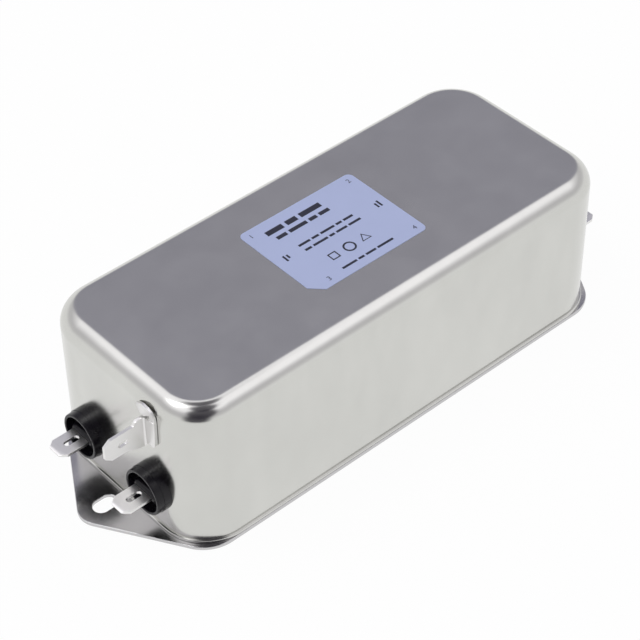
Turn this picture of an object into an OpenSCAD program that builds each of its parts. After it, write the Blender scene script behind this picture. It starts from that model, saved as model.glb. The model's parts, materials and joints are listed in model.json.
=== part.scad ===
/* [Can] */
// Length of the drawn can over its end walls
can_l = 135.5; // [130:0.5:160]
// Width of the drawn can over its side walls
can_w = 56.5; // [54:0.5:68]
// Height of the can above the base plate
can_h = 42.2; // [38:0.1:56]
// Sheet thickness of the can
wall_t = 0.6; // [0.4:0.05:0.9]
// Outside radius of the can's upright corners
corner_r = 12.5; // [9:0.1:14]
// Outside radius of the edge round the top
edge_r = 4.7; // [3:0.1:5.5]
// How far the can's turned-out bottom rim stands proud
rim_out = 0.5; // [0.3:0.05:1]
// Height of the bottom rim
rim_h = 0.8; // [0.5:0.05:1.2]

/* [Base plate] */
// Thickness of the base plate
plate_t = 1; // [0.8:0.1:2]
// How far the plate stands out past the can's sides and ends
plate_out = 0.6; // [0.4:0.05:1.5]
// Corner radius of the plate
plate_corner_r = 10.2; // [8:0.1:12]
// Distance from the can's end to the centre of the ear's round tip
ear_reach = 6.8; // [6:0.1:12]
// Radius of the ear's round tip
ear_tip_r = 5.9; // [5:0.1:8]
// Distance from the can's end to the centre of the mounting slot
slot_reach = 5.75; // [5:0.05:9]
// Width of the mounting slot
slot_w = 4.4; // [3.4:0.1:5.4]
// Length of the mounting slot, end to end
slot_l = 6.5; // [6:0.1:8]

/* [Terminals] */
// Distance between the two terminals of one end
terminal_pitch = 24; // [19:0.5:26]
// How far the pair of terminals sits off the centre line
terminal_shift = -0.8; // [-1.5:0.1:1.5]
// Height of the terminals above the underside of the base plate
terminal_z = 13.6; // [12:0.1:15]
// Width of a flat blade
blade_w = 6.3; // [4.8:0.1:6.3]
// Thickness of a flat blade
blade_t = 0.8; // [0.5:0.1:1]
// How far a blade reaches out from the can's end wall
blade_reach = 11; // [9:0.1:14]
// How far a blade reaches in from the can's end wall
blade_tail = 6.7; // [6:0.1:7]
// Length of the chamfers at a blade's tip
blade_tip_l = 1.8; // [1:0.1:2.5]
// Depth of each chamfer at a blade's tip
blade_tip_in = 1.4; // [0.6:0.1:2]
// Width of the locking hole in a blade
blade_hole_w = 1.6; // [1.2:0.1:2]
// Length of the locking hole in a blade
blade_hole_l = 2.8; // [2.2:0.1:3.4]
// Distance from a blade's tip to the middle of its locking hole
blade_hole_in = 4.5; // [4:0.1:5.5]

/* [Bushings] */
// Diameter of a bushing at its rim
bushing_rim_d = 12.1; // [11:0.1:14]
// Diameter of a bushing where it meets the can
bushing_base_d = 12.6; // [12:0.1:15]
// How far a bushing stands out from the can's end wall
bushing_reach = 3.6; // [3:0.1:6]
// Thickness of the bushing's cup wall at the rim
bushing_rim_t = 0.75; // [0.5:0.05:1.2]
// Depth of the cup inside the bushing
bushing_cup = 3; // [2.2:0.1:3]
// Diameter of the hole in the can that a bushing sits in
bushing_hole_d = 10.6; // [10:0.1:11]
// Thickness of the bushing's flange inside the can
bushing_flange_t = 1.6; // [1:0.1:2]

/* [Earth tab] */
// Distance of the earth blade from the can's centre line
earth_y = 12; // [10:0.1:12.4]
// Distance from the can's top down to the earth blade's middle
earth_drop = 11.2; // [11:0.1:13]
// How far the earth blade reaches out from the can's end wall
earth_reach = 12.1; // [10:0.1:14]
// Width of the foot's lower wing
foot_w = 3.2; // [3:0.1:3.6]
// Height of the foot's lower wing
foot_h = 8.8; // [8:0.1:9.5]
// How far the lower wing's middle sits above the blade's
foot_rise = 0.6; // [0:0.1:1]
// Height of the foot's upper wing
wing_h = 2.5; // [2:0.1:3]
// How far the upper wing leans away from the lower one
wing_lean = 1.6; // [0:0.1:2]
// Slit between the two wings
wing_slit = 0.4; // [0.3:0.05:0.6]
// How far the upper wing's root sits beside the bend of the lower one
wing_shift = 0.2; // [0:0.1:1]

/* [Label] */
// Length of the label
label_l = 36.1; // [24:0.1:50]
// Width of the label
label_w = 28.5; // [20:0.1:34]
// Thickness of the label
label_t = 0.12; // [0.08:0.01:0.3]
// Corner radius of the label
label_r = 1.6; // [1:0.1:2.5]
// Size of the label's cut corner
label_cut = 3.2; // [2.6:0.1:5]
// How far the label sits off the can's centre line
label_shift = 0.5; // [-2:0.1:2]

/* [Chokes] */
// Width of a ring core's section, from its hole to its outside
core_w = 8; // [6:0.5:9]
// Height of a ring core
core_h = 18; // [12:0.5:20]
// Edge radius of a ring core
core_edge_r = 1.2; // [0.6:0.1:2]
// Diameter of the winding wire
wire_d = 1.8; // [1.2:0.1:2]
// Turns in each winding
turns = 10; // [6:1:12]
// Thickness of the divider between a choke's windings
divider_t = 1.6; // [1:0.1:2.4]
// Height at which the divider carries the core over the board
core_lift = 2.4; // [2.2:0.1:4]

/* [Capacitors and resistor] */
// Length of a line capacitor
xcap_l = 26; // [18:0.5:27]
// Thickness of a line capacitor
xcap_t = 8.4; // [6:0.1:8.6]
// Height of a line capacitor over the board
xcap_h = 18; // [14:0.5:22]
// Diameter of an earth capacitor
ycap_d = 10; // [7:0.5:11]
// Thickness of an earth capacitor
ycap_t = 4.6; // [3:0.1:6]
// Diameter of the discharge resistor
resistor_d = 3.4; // [2.4:0.1:4]
// Length of the discharge resistor's body
resistor_l = 9; // [6:0.5:10]

/* [Board and compound] */
// Thickness of the circuit board
board_t = 1.6; // [1:0.1:2.4]
// Height of the board's underside over the insulating sheet
board_lift = 3; // [2.5:0.1:4]
// Thickness of the insulating sheet on the base plate
sheet_t = 0.5; // [0.3:0.05:1]
// Space between the can's inner wall and the board's edge
board_gap = 1.5; // [1:0.1:2]
// Height of the potting compound's lower face above the plate's underside
compound_z = 22.4; // [22:0.1:23]

/* [Hidden] */
$fn = 64;
fit = 0.05;              // clearance round a piece that passes through another
seat = 0.15;             // clearance round a piece that lies against another
overlap = 0.01;          // how far a straight side runs inside the round that it joins
inner_l = can_l - 2 * wall_t;
inner_w = can_w - 2 * wall_t;
inner_corner_r = corner_r - wall_t;
can_top = plate_t + can_h;
end_x = can_l / 2;
earth_z = can_top - earth_drop;
foot_z = earth_z + foot_rise - foot_h / 2;
terminal_y = [for (side = [1, -1]) terminal_shift + side * terminal_pitch / 2];
boss_r = 1.4;            // radius of the domed bar that a blade stands in
boss_l = blade_w + 2.1;  // length of that bar, with its round ends
bend_r = 0.5;            // inside radius of the earth tab's bends
shoulder_l = 3.4;        // where the earth blade widens towards its foot
weld_d = 1.8;            // diameter of the weld marks on the foot
weld_at = [0.28, 0.72];  // places of those marks up the foot, as shares of its height
notch_w = 1.5;           // width of the notch in the foot's lower edge
notch_h = 0.7;           // height of that notch
wing_w = 2.7;            // width of the upper wing
curl_r = 7;              // radius of the upper wing's curled face
curl_out = 0.5;          // how far that face stands proud, as a share of the thickness
tip_lead = 0.9;          // length of the wedge at a blade's tip, over its thickness
tip_thin = 0.28;         // what that wedge takes off each side, over the thickness
collar_l = 0.48;         // share of a bushing's reach that its collar takes
collar_step = 0.1;       // step from that collar down to the cup
cup_edge = bushing_rim_t / 4;
sheet_top = plate_t + sheet_t;
board_z = sheet_top + board_lift;
board_top = board_z + board_t;
board_l = inner_l - 2 * board_gap;
board_w = inner_w - 2 * board_gap;
board_corner_r = inner_corner_r - board_gap;
post_d = 5;              // board post, shaft
pin_d = 2.4;             // board post, pin through the board
pin_h = 1;               // how far that pin stands above the board
post_in = 5;             // from the board's straight edges to a post's centre
wire_r = wire_d / 2;
core_z = board_top + core_lift;
part_gap = 0.7;          // space between neighbours on the board
side_gap = 1;            // space between a choke and the board's long edges
riser_d = 2.2;
riser_gap = 3.65;        // space between the end capacitors and the risers
tail_hole_d = 1.4;       // solder hole in a blade's tail
tail_hole_in = 1.6;      // from the tail's end to that hole
riser_x = end_x - blade_tail + tail_hole_in;
// the chokes take the length that the capacitors and risers leave, or the board's width
choke_r = min(board_w / 2 - side_gap,
    (riser_x - riser_d / 2 - riser_gap - 1.5 * xcap_t - 2 * part_gap) / 2);
choke_x = xcap_t / 2 + part_gap + choke_r;
coil_r = choke_r - wire_r;                 // radius of the wire on the core's outside
core_od = 2 * (coil_r - wire_r - seat);
core_id = core_od - 2 * core_w;
end_cap_x = choke_x + choke_r + part_gap + xcap_t / 2;
coil_gap_a = 15;         // half angle of the gap between a choke's windings
wire_sides = 6;
loop_r = wire_r + seat + core_edge_r;      // radius of a turn round the core's corners
section_r = core_od / 2 - core_w / 2;
half_w = core_w / 2 - core_edge_r;
half_h = core_h / 2 - core_edge_r;
drop_r = core_z - seat - wire_r - board_top;
xcap_foot_h = 0.5;
xcap_foot_d = 1.6;
xcap_foot_in = 1.5;      // from a line capacitor's sides to its feet
xcap_edge_r = 0.8;
xcap_top = board_top + xcap_h;
lead_d = 0.8;
ycap_y = (xcap_l / 2 + board_w / 2) / 2;
ycap_lift = 2;
ycap_edge = ycap_t / 3;  // radius of a disc's rounded edge
resistor_lift = 0.2;
resistor_cap_l = 2;      // length of the thicker ends of the resistor's body
resistor_waist = 0.5;    // how much thinner the body is between them
resistor_lead_out = 1.6; // from the body's ends to the bent leads
strap_w = 5;
strap_t = 0.5;
strap_h = 14;
strap_run = 5;
steel = "#c9c7c4";
tin = "#d6d4d0";
plastic = "#28262d";

// ---- shared shapes ----

// A rectangle with round corners, from squares and circles.
module rounded_rect(l, w, r) {
    square([l - 2 * r, w], center = true);
    square([l, w - 2 * r], center = true);
    for (x = [-1, 1], y = [-1, 1])
        translate([x * (l / 2 - r), y * (w / 2 - r)]) circle(r);
}

// Carries a profile round a rounded rectangle. The profile's x is measured outwards
// from the rectangle's edge and its y upwards.
module sweep_round(l, w, r) {
    for (a = [0, 180]) rotate([0, 0, a]) {
        translate([l / 2, w / 2 - r, 0]) rotate([90, 0, 0])
            linear_extrude(w - 2 * r) children();
        translate([-l / 2 + r, w / 2, 0]) rotate([90, 0, 90])
            linear_extrude(l - 2 * r) children();
        translate([l / 2 - r, w / 2 - r, 0])
            rotate_extrude(angle = 90) translate([r, 0]) children();
        translate([-l / 2 + r, w / 2 - r, 0]) rotate([0, 0, 90])
            rotate_extrude(angle = 90) translate([r, 0]) children();
    }
}

// A slot with round ends along x.
module slot_2d(l, w) {
    square([l - w, w], center = true);
    for (x = [-1, 1]) translate([x * (l - w) / 2, 0]) circle(w / 2);
}

// Puts a shape that points along +x on one end of the can: end is -1 for line, 1 for load.
module on_end(end) {
    mirror([end < 0 ? 1 : 0, 0, 0]) translate([end_x, 0, 0]) children();
}

// ---- can and base plate ----

// Section through the can's wall: rim, upright wall and the edge that turns in at the top.
module can_section() {
    rim_r = rim_h / 2;
    translate([-wall_t, 0]) square([wall_t, can_h - edge_r]);
    translate([-wall_t, 0]) square([wall_t + max(0, rim_out - rim_r), rim_h]);
    translate([rim_out - rim_r, rim_r]) intersection() {
        circle(rim_r);
        translate([-min(rim_r, rim_out), -rim_r]) square([2 * rim_r, 2 * rim_r]);
    }
    translate([-edge_r, can_h - edge_r]) intersection() {
        difference() {
            circle(edge_r);
            circle(edge_r - wall_t);
        }
        square(edge_r);
    }
}

module can() {
    color(steel) difference() {
        translate([0, 0, plate_t]) union() {
            sweep_round(can_l, can_w, corner_r) can_section();
            translate([0, 0, can_h - wall_t]) linear_extrude(wall_t)
                rounded_rect(can_l - 2 * edge_r, can_w - 2 * edge_r, corner_r - edge_r);
        }
        for (end = [-1, 1], i = [0, 1])
            at_terminal(end, i) translate([-corner_r / 2, 0, 0]) rotate([0, 90, 0])
                cylinder(d = bushing_hole_d, h = corner_r);
    }
}

// One ear: straight sides that run tangent from the plate's corners to the round tip.
module ear() {
    corner = [end_x + plate_out - plate_corner_r, can_w / 2 + plate_out - plate_corner_r];
    tip = [end_x + ear_reach, 0];
    reach = tip - corner;
    lean = atan2(reach.y, reach.x) + acos((plate_corner_r - ear_tip_r) / norm(reach));
    out = [cos(lean), sin(lean)];
    near = corner + (plate_corner_r - overlap) * out;
    far = tip + (ear_tip_r - overlap) * out;
    linear_extrude(plate_t) polygon([
        [corner.x, -corner.y], [near.x, -near.y], [far.x, -far.y], far, near, corner]);
    translate([tip.x, tip.y, 0]) cylinder(r = ear_tip_r, h = plate_t);
}

module base_plate() {
    color(steel) difference() {
        union() {
            linear_extrude(plate_t)
                rounded_rect(can_l + 2 * plate_out, can_w + 2 * plate_out, plate_corner_r);
            for (end = [0, 1]) mirror([end, 0, 0]) ear();
        }
        for (end = [-1, 1]) translate([end * (end_x + slot_reach), 0, -plate_t])
            linear_extrude(3 * plate_t) slot_2d(slot_l, slot_w);
    }
}

module label() {
    corner = [label_l / 2, label_w / 2];
    color("#b3bfe2") translate([0, label_shift, can_top]) linear_extrude(label_t) difference() {
        rounded_rect(label_l, label_w, label_r);
        polygon([-corner, [-corner.x + label_cut, -corner.y], [-corner.x, -corner.y + label_cut]]);
    }
}

// ---- terminals ----

// An insulating bushing: a cup outside the wall, a neck through it and a flange inside.
module bushing(end, i) {
    flange_x = -wall_t - bushing_flange_t;
    color(plastic) difference() {
        union() {
            at_terminal(end, i) {
                bushing_cup();
                boss();
                translate([flange_x, 0, 0]) rotate([0, 90, 0])
                    cylinder(r = bushing_hole_d / 2 - fit, h = -flange_x);
            }
            intersection() {
                at_terminal(end, i) translate([flange_x, 0, 0]) rotate([0, 90, 0])
                    cylinder(d = bushing_base_d, h = bushing_flange_t);
                translate([0, 0, plate_t]) linear_extrude(can_h - edge_r)
                    rounded_rect(inner_l - 2 * fit, inner_w - 2 * fit, inner_corner_r - fit);
            }
        }
        at_terminal(end, i) translate([flange_x - 1, -blade_w / 2 - fit, -blade_t / 2 - fit])
            cube([bushing_reach - flange_x + 2, blade_w + 2 * fit, blade_t + 2 * fit]);
    }
}

// Puts a shape that points along +x at a terminal's place on the can's end wall.
module at_terminal(end, i) {
    on_end(end) translate([0, terminal_y[i], terminal_z]) children();
}

// The part outside the wall: a collar and a barrel that narrows to its rim, hollowed to a cup.
module bushing_cup() {
    cup_r = bushing_rim_d / 2 - bushing_rim_t;
    rim_x = bushing_reach - cup_edge;
    floor_x = bushing_reach - bushing_cup;
    collar_x = bushing_reach * collar_l;
    rotate([0, 90, 0]) rotate_extrude() polygon([
        [0, 0], [bushing_base_d / 2, 0],
        [bushing_base_d / 2, collar_x], [bushing_base_d / 2 - collar_step, collar_x],
        [bushing_rim_d / 2, rim_x], [bushing_rim_d / 2 - cup_edge, bushing_reach],
        [cup_r + cup_edge, bushing_reach], [cup_r, rim_x], [cup_r, floor_x], [0, floor_x]]);
}

// The domed bar on the cup's floor that the blade comes out of.
module boss() {
    floor_x = bushing_reach - bushing_cup;
    dome_x = bushing_reach - boss_r - bushing_rim_t / 2;
    half = boss_l / 2 - boss_r;
    translate([floor_x - fit, 0, 0]) rotate([0, 90, 0]) rotate([0, 0, 90])
        linear_extrude(dome_x - floor_x + fit) slot_2d(boss_l, 2 * boss_r);
    translate([dome_x, -half, 0]) rotate([-90, 0, 0]) cylinder(r = boss_r, h = 2 * half);
    for (y = [-half, half]) translate([dome_x, y, 0]) sphere(boss_r);
}

// Outline of a flat blade from its root to its chamfered tip, with its locking hole.
module blade_2d(root, reach) {
    difference() {
        polygon([
            [root, -blade_w / 2], [reach - blade_tip_l, -blade_w / 2],
            [reach, -blade_w / 2 + blade_tip_in], [reach, blade_w / 2 - blade_tip_in],
            [reach - blade_tip_l, blade_w / 2], [root, blade_w / 2]]);
        translate([reach - blade_hole_in, 0]) slot_2d(blade_hole_l, blade_hole_w);
    }
}

// The wedge that thins a blade's tip so that it enters its socket.
module blade_side_2d(root, reach) {
    lead = blade_t * tip_lead;
    thin = blade_t * tip_thin;
    polygon([
        [root, -blade_t / 2], [reach - lead, -blade_t / 2], [reach, -blade_t / 2 + thin],
        [reach, blade_t / 2 - thin], [reach - lead, blade_t / 2], [root, blade_t / 2]]);
}

module blade(end, i) {
    color(tin) at_terminal(end, i) difference() {
        intersection() {
            translate([0, 0, -blade_t]) linear_extrude(2 * blade_t)
                blade_2d(-blade_tail, blade_reach);
            translate([0, blade_w, 0]) rotate([90, 0, 0]) linear_extrude(2 * blade_w)
                blade_side_2d(-blade_tail, blade_reach);
        }
        translate([-blade_tail + tail_hole_in, 0, -blade_t])
            cylinder(d = tail_hole_d, h = 2 * blade_t);
    }
}

// The earth tab, bent from one strip: an upright blade that widens to a foot, whose
// lower wing folds towards the can's side and whose upper wing folds the other way.
module earth_tab() {
    face = -earth_y - blade_t / 2;
    color(tin) mirror([1, 0, 0]) translate([end_x, 0, 0]) {
        intersection() {
            translate([0, face + blade_t, 0]) rotate([90, 0, 0]) linear_extrude(blade_t)
                earth_blade_2d();
            translate([0, -earth_y, 0]) linear_extrude(2 * earth_z)
                blade_side_2d(bend_r + blade_t, earth_reach);
        }
        // bend and lower wing
        translate([bend_r + blade_t, face - bend_r, foot_z]) rotate([0, 0, 90])
            rotate_extrude(angle = 90) translate([bend_r, 0]) square([blade_t, foot_h]);
        translate([0, face - bend_r, foot_z]) lower_wing();
        translate([0, face - bend_r - blade_t, foot_z + foot_h]) upper_wing();
    }
}

// Side view of the earth blade with the shoulders by which it widens to the foot.
module earth_blade_2d() {
    root = bend_r + blade_t;
    translate([0, earth_z]) blade_2d(root, earth_reach);
    polygon([
        [root, foot_z], [root + shoulder_l, earth_z - blade_w / 2],
        [root + shoulder_l, earth_z + blade_w / 2], [root, foot_z + foot_h]]);
}

// The lower wing lies on the wall: two weld marks in its face, a notch in its lower edge.
module lower_wing() {
    wing_l = foot_w - blade_t;
    translate([0, -wing_l, 0]) difference() {
        cube([blade_t, wing_l, foot_h]);
        for (k = weld_at)
            translate([blade_t + weld_d / 3, wing_l / 2, k * foot_h]) sphere(d = weld_d);
        translate([-blade_t, wing_l / 2, -overlap]) rotate([90, 0, 90])
            linear_extrude(3 * blade_t)
                polygon([[-notch_w / 2, 0], [notch_w / 2, 0], [0, notch_h]]);
    }
}

// The upper wing: a short neck beside the slit and a curled leaf that leans over the blade.
module upper_wing() {
    cube([blade_t, blade_t + bend_r, wing_slit]);
    translate([0, -wing_shift, wing_slit]) intersection() {
        rotate([90, 0, 90]) linear_extrude(2 * blade_t)
            polygon([[0, 0], [wing_w, 0], [wing_w + wing_lean, wing_h], [wing_lean, wing_h]]);
        translate([(1 + curl_out) * blade_t - curl_r, (wing_w + wing_lean) / 2, 0])
            cylinder(r = curl_r, h = wing_h);
    }
}

// ---- board, sheet and compound ----

module insulating_sheet() {
    color("#d8cfae") translate([0, 0, plate_t]) linear_extrude(sheet_t)
        rounded_rect(board_l, board_w, board_corner_r);
}

module at_posts() {
    for (x = [-1, 1], y = [-1, 1])
        translate([x * (board_l / 2 - board_corner_r), y * (board_w / 2 - post_in), 0]) children();
}

module board_posts() {
    color("#e6e4dc") at_posts() {
        translate([0, 0, sheet_top]) cylinder(d = post_d, h = board_lift);
        translate([0, 0, board_z]) cylinder(d = pin_d, h = board_t + pin_h);
    }
}

module circuit_board() {
    color("#3f7d52") difference() {
        translate([0, 0, board_z]) linear_extrude(board_t)
            rounded_rect(board_l, board_w, board_corner_r);
        at_posts() translate([0, 0, board_z - 1]) cylinder(d = pin_d + 4 * fit, h = board_t + 2);
    }
}

// Compound poured into the can's closed end; the tall parts stand in pockets of it.
module potting_compound() {
    pour_h = can_top - wall_t - compound_z - seat;
    color("#4a4440") difference() {
        translate([0, 0, compound_z]) rounded_slab(inner_l - 2 * seat, inner_w - 2 * seat, pour_h,
            inner_corner_r - seat, edge_r - wall_t);
        for (x = [-1, 1]) translate([x * choke_x, 0, compound_z - 1])
            cylinder(r = choke_r + seat, h = core_z + core_h + 2 * seat + wire_d - compound_z + 1);
        for (x = [-end_cap_x, 0, end_cap_x])
            translate([x - xcap_t / 2 - seat, -xcap_l / 2 - seat, compound_z - 1])
                cube([xcap_t + 2 * seat, xcap_l + 2 * seat, max(1, xcap_top + seat - compound_z + 1)]);
    }
}

// A slab with round corners whose upper edge is rounded too.
module rounded_slab(l, w, h, r, top_r) {
    linear_extrude(h - top_r) rounded_rect(l, w, r);
    linear_extrude(h) rounded_rect(l - 2 * top_r, w - 2 * top_r, r - top_r);
    translate([0, 0, h - top_r]) sweep_round(l, w, r)
        translate([-top_r, 0]) intersection() {
            circle(top_r);
            square(top_r);
        }
}

// ---- chokes ----

module choke_core(side) {
    color("#3b6e63") translate([side * choke_x, 0, core_z]) rotate_extrude()
        translate([section_r, core_h / 2]) rounded_rect(core_w, core_h, core_edge_r);
}

// A T-shaped divider: its stem parts the windings in the hole and its feet carry the core.
module choke_divider(side) {
    stem_l = core_id - 2 * seat;
    foot_l = core_od / 2 - core_edge_r;
    color("#d9d4c4") translate([side * choke_x, 0, board_top]) {
        translate([-stem_l / 2, -divider_t / 2, 0]) cube([stem_l, divider_t, core_lift + core_h]);
        translate([-foot_l, -divider_t / 2, 0]) cube([2 * foot_l, divider_t, core_lift]);
    }
}

// One turn's path round the core's section: three points on each round corner.
function loop_point(corner, step) =
    let (a = 90 * corner + 45 * step,
         cx = (corner == 0 || corner == 3 ? 1 : -1) * half_w,
         cz = (corner < 2 ? 1 : -1) * half_h)
    [section_r + cx + loop_r * cos(a), core_z + core_h / 2 + cz + loop_r * sin(a), cos(a), sin(a)];

// The last point of the last turn bends down to the board instead of going up again.
function drop_point(step) =
    let (a = 90 - 45 * step)
    [coil_r - drop_r + drop_r * cos(a), board_top + drop_r * sin(a), -cos(a), -sin(a)];

function coil_path() = concat(
    [[coil_r, board_top, 1, 0]],
    [for (turn = [0 : turns - 1], corner = [0 : 3], step = [0 : 2])
        if (turn < turns - 1 || corner < 3) loop_point(corner, step)],
    [for (step = [0 : 2]) drop_point(step)]);

function coil_ring(p, turn_a) =
    [for (k = [0 : wire_sides - 1])
        let (b = 360 * k / wire_sides,
             r = p[0] + wire_r * cos(b) * p[2],
             z = p[1] + wire_r * cos(b) * p[3],
             s = wire_r * sin(b))
        [r * cos(turn_a) - s * sin(turn_a), r * sin(turn_a) + s * cos(turn_a), z]];

// One continuous winding over its half of the ring, as a tube along its path.
module winding(side, half) {
    path = coil_path();
    last = len(path) - 1;
    span = 180 - 2 * coil_gap_a;
    // the two upright leads keep their own angle; the turns advance evenly between them
    rings = [for (i = [0 : last])
        coil_ring(path[i], coil_gap_a + span * min(1, max(0, (i - 1) / (last - 4))))];
    n = wire_sides;
    color("#b5652f") translate([side * choke_x, 0, 0]) rotate([0, 0, half > 0 ? 0 : 180])
        polyhedron(
            points = [for (ring = rings, p = ring) p],
            faces = concat(
                [[for (k = [0 : n - 1]) k]],
                [[for (k = [n - 1 : -1 : 0]) last * n + k]],
                [for (i = [0 : last - 1], k = [0 : n - 1])
                    [i * n + k, (i + 1) * n + k, i * n + (k + 1) % n]],
                [for (i = [0 : last - 1], k = [0 : n - 1])
                    [i * n + (k + 1) % n, (i + 1) * n + k, (i + 1) * n + (k + 1) % n]]));
}

// ---- capacitors, resistor and wires ----

module line_capacitor(x) {
    color("#d9b23c") translate([x, 0, board_top]) {
        translate([0, 0, xcap_foot_h]) linear_extrude(xcap_h - xcap_foot_h)
            rounded_rect(xcap_t, xcap_l, xcap_edge_r);
        for (i = [-1, 1], j = [-1, 1])
            translate([i * (xcap_t / 2 - xcap_foot_in), j * (xcap_l / 2 - xcap_foot_in), 0])
                cylinder(d = xcap_foot_d, h = xcap_foot_h);
        for (j = [-1, 1])
            translate([0, j * (xcap_l / 2 - xcap_foot_in), 0])
                cylinder(d = lead_d, h = xcap_foot_h);
    }
}

// A disc capacitor on two leads.
module earth_capacitor(side) {
    mid_z = ycap_lift + ycap_d / 2;
    color("#2f62a8") translate([0, side * ycap_y, board_top]) {
        translate([0, 0, mid_z]) rotate([90, 0, 0]) rotate_extrude() {
            translate([0, -ycap_t / 2]) square([ycap_d / 2 - ycap_edge, ycap_t]);
            translate([0, -ycap_t / 2 + ycap_edge])
                square([ycap_d / 2, ycap_t - 2 * ycap_edge]);
            for (y = [-1, 1])
                translate([ycap_d / 2 - ycap_edge, y * (ycap_t / 2 - ycap_edge)])
                    circle(ycap_edge);
        }
        for (x = [-1, 1]) translate([x * ycap_d / 4, 0, 0]) cylinder(d = lead_d, h = mid_z);
    }
}

// A resistor that lies on the board, with its leads bent down at both ends.
module discharge_resistor() {
    lead_y = resistor_l / 2 + resistor_lead_out;
    mid_z = resistor_d / 2 + resistor_lift;
    color("#9a7b5a") translate([(end_cap_x + xcap_t / 2 + end_x) / 2, terminal_shift, board_top]) {
        translate([0, -resistor_l / 2, mid_z]) rotate([-90, 0, 0]) {
            cylinder(d = resistor_d - resistor_waist, h = resistor_l);
            for (y = [0, resistor_l - resistor_cap_l])
                translate([0, 0, y]) cylinder(d = resistor_d, h = resistor_cap_l);
        }
        translate([0, -lead_y, mid_z]) rotate([-90, 0, 0]) cylinder(d = lead_d, h = 2 * lead_y);
        for (y = [-1, 1]) translate([0, y * lead_y, 0]) {
            cylinder(d = lead_d, h = mid_z);
            translate([0, 0, mid_z]) sphere(d = lead_d);
        }
    }
}

// The stiff wire that joins a blade's tail to the board.
module riser(end, i) {
    color("#c98a4b") translate([end * riser_x, terminal_y[i], board_top])
        cylinder(d = riser_d, h = terminal_z - blade_t / 2 - board_top);
}

// The strap that joins the board to the can's end wall beside the earth tab.
module earth_strap() {
    wall_x = inner_l / 2;
    bend = strap_t;
    color(tin) mirror([1, 0, 0]) translate([0, terminal_shift, board_top]) {
        translate([wall_x - strap_t - bend - strap_run, -strap_w / 2, 0])
            cube([strap_run, strap_w, strap_t]);
        translate([wall_x - strap_t - bend, strap_w / 2, strap_t + bend])
            rotate([90, 0, 0]) rotate([0, 0, -90])
                rotate_extrude(angle = 90) translate([bend, 0]) square([strap_t, strap_w]);
        translate([wall_x - strap_t, -strap_w / 2, strap_t + bend])
            cube([strap_t, strap_w, strap_h - strap_t - bend]);
    }
}

can();
base_plate();
label();
bushing(-1, 0);  // line_bushing_1
bushing(-1, 1);  // line_bushing_2
bushing(1, 0);  // load_bushing_1
bushing(1, 1);  // load_bushing_2
blade(-1, 0);  // line_blade_1
blade(-1, 1);  // line_blade_2
blade(1, 0);  // load_blade_1
blade(1, 1);  // load_blade_2
earth_tab();
insulating_sheet();
board_posts();
circuit_board();
potting_compound();
choke_core(-1);  // choke_core_1
choke_core(1);  // choke_core_2
choke_divider(-1);  // choke_divider_1
choke_divider(1);  // choke_divider_2
winding(-1, 1);  // winding_1a
winding(-1, -1);  // winding_1b
winding(1, 1);  // winding_2a
winding(1, -1);  // winding_2b
line_capacitor(-end_cap_x);  // line_capacitor_1
line_capacitor(0);  // line_capacitor_2
line_capacitor(end_cap_x);  // line_capacitor_3
earth_capacitor(1);  // earth_capacitor_1
earth_capacitor(-1);  // earth_capacitor_2
discharge_resistor();
riser(-1, 0);  // line_riser_1
riser(-1, 1);  // line_riser_2
riser(1, 0);  // load_riser_1
riser(1, 1);  // load_riser_2
earth_strap();
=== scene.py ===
import json
from math import cos, pi, radians, sin

import bmesh
import bpy
from bpy.props import FloatProperty, FloatVectorProperty, PointerProperty
from mathutils import Matrix, Vector


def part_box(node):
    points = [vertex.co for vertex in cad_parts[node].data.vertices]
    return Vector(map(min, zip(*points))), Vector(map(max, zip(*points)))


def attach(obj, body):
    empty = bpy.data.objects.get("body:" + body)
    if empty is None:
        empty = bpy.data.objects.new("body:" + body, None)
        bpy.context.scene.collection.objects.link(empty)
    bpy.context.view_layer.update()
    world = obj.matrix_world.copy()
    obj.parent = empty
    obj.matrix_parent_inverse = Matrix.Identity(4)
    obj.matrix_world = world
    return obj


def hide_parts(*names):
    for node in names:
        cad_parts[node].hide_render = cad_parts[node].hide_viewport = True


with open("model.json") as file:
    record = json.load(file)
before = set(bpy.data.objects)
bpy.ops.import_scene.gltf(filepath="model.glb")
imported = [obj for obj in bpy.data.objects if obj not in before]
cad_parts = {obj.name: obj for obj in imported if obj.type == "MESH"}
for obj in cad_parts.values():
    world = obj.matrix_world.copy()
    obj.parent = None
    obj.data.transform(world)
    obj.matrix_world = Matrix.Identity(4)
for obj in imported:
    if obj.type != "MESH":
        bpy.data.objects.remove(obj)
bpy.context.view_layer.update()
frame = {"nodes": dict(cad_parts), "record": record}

bl_info = {
    "name": "Line Filter",
    "version": (1, 0, 0),
    "blender": (4, 5, 0),
    "location": "View3D > Sidebar > Line Filter",
    "description": "Case, plate, terminals and label of a mains line filter, on its CAD frame",
    "category": "Object",
}

MM = 0.001
TINY = 0.01 * MM        # nearer than this counts as the same place

CASE_LOW, CASE_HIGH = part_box("can")
PLATE_LOW, PLATE_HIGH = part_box("base_plate")
LABEL_LOW, LABEL_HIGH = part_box("label")
EARTH_LOW, EARTH_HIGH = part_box("earth_tab")

# the faces of the end walls, inside the case's box by its turned rim
LINE_WALL = CASE_LOW.x + 0.5 * MM
LOAD_WALL = CASE_HIGH.x - 0.5 * MM
CORNER_STEPS = 28           # faces round each upright corner of the case
BLADE_GAP = 0.05 * MM       # round a blade in its bushing
BUSHING_GAP = 0.05 * MM     # between a bushing and the case
FLANGE_BACK = 2.2 * MM      # how far a bushing's flange reaches in from the wall's face

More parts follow.
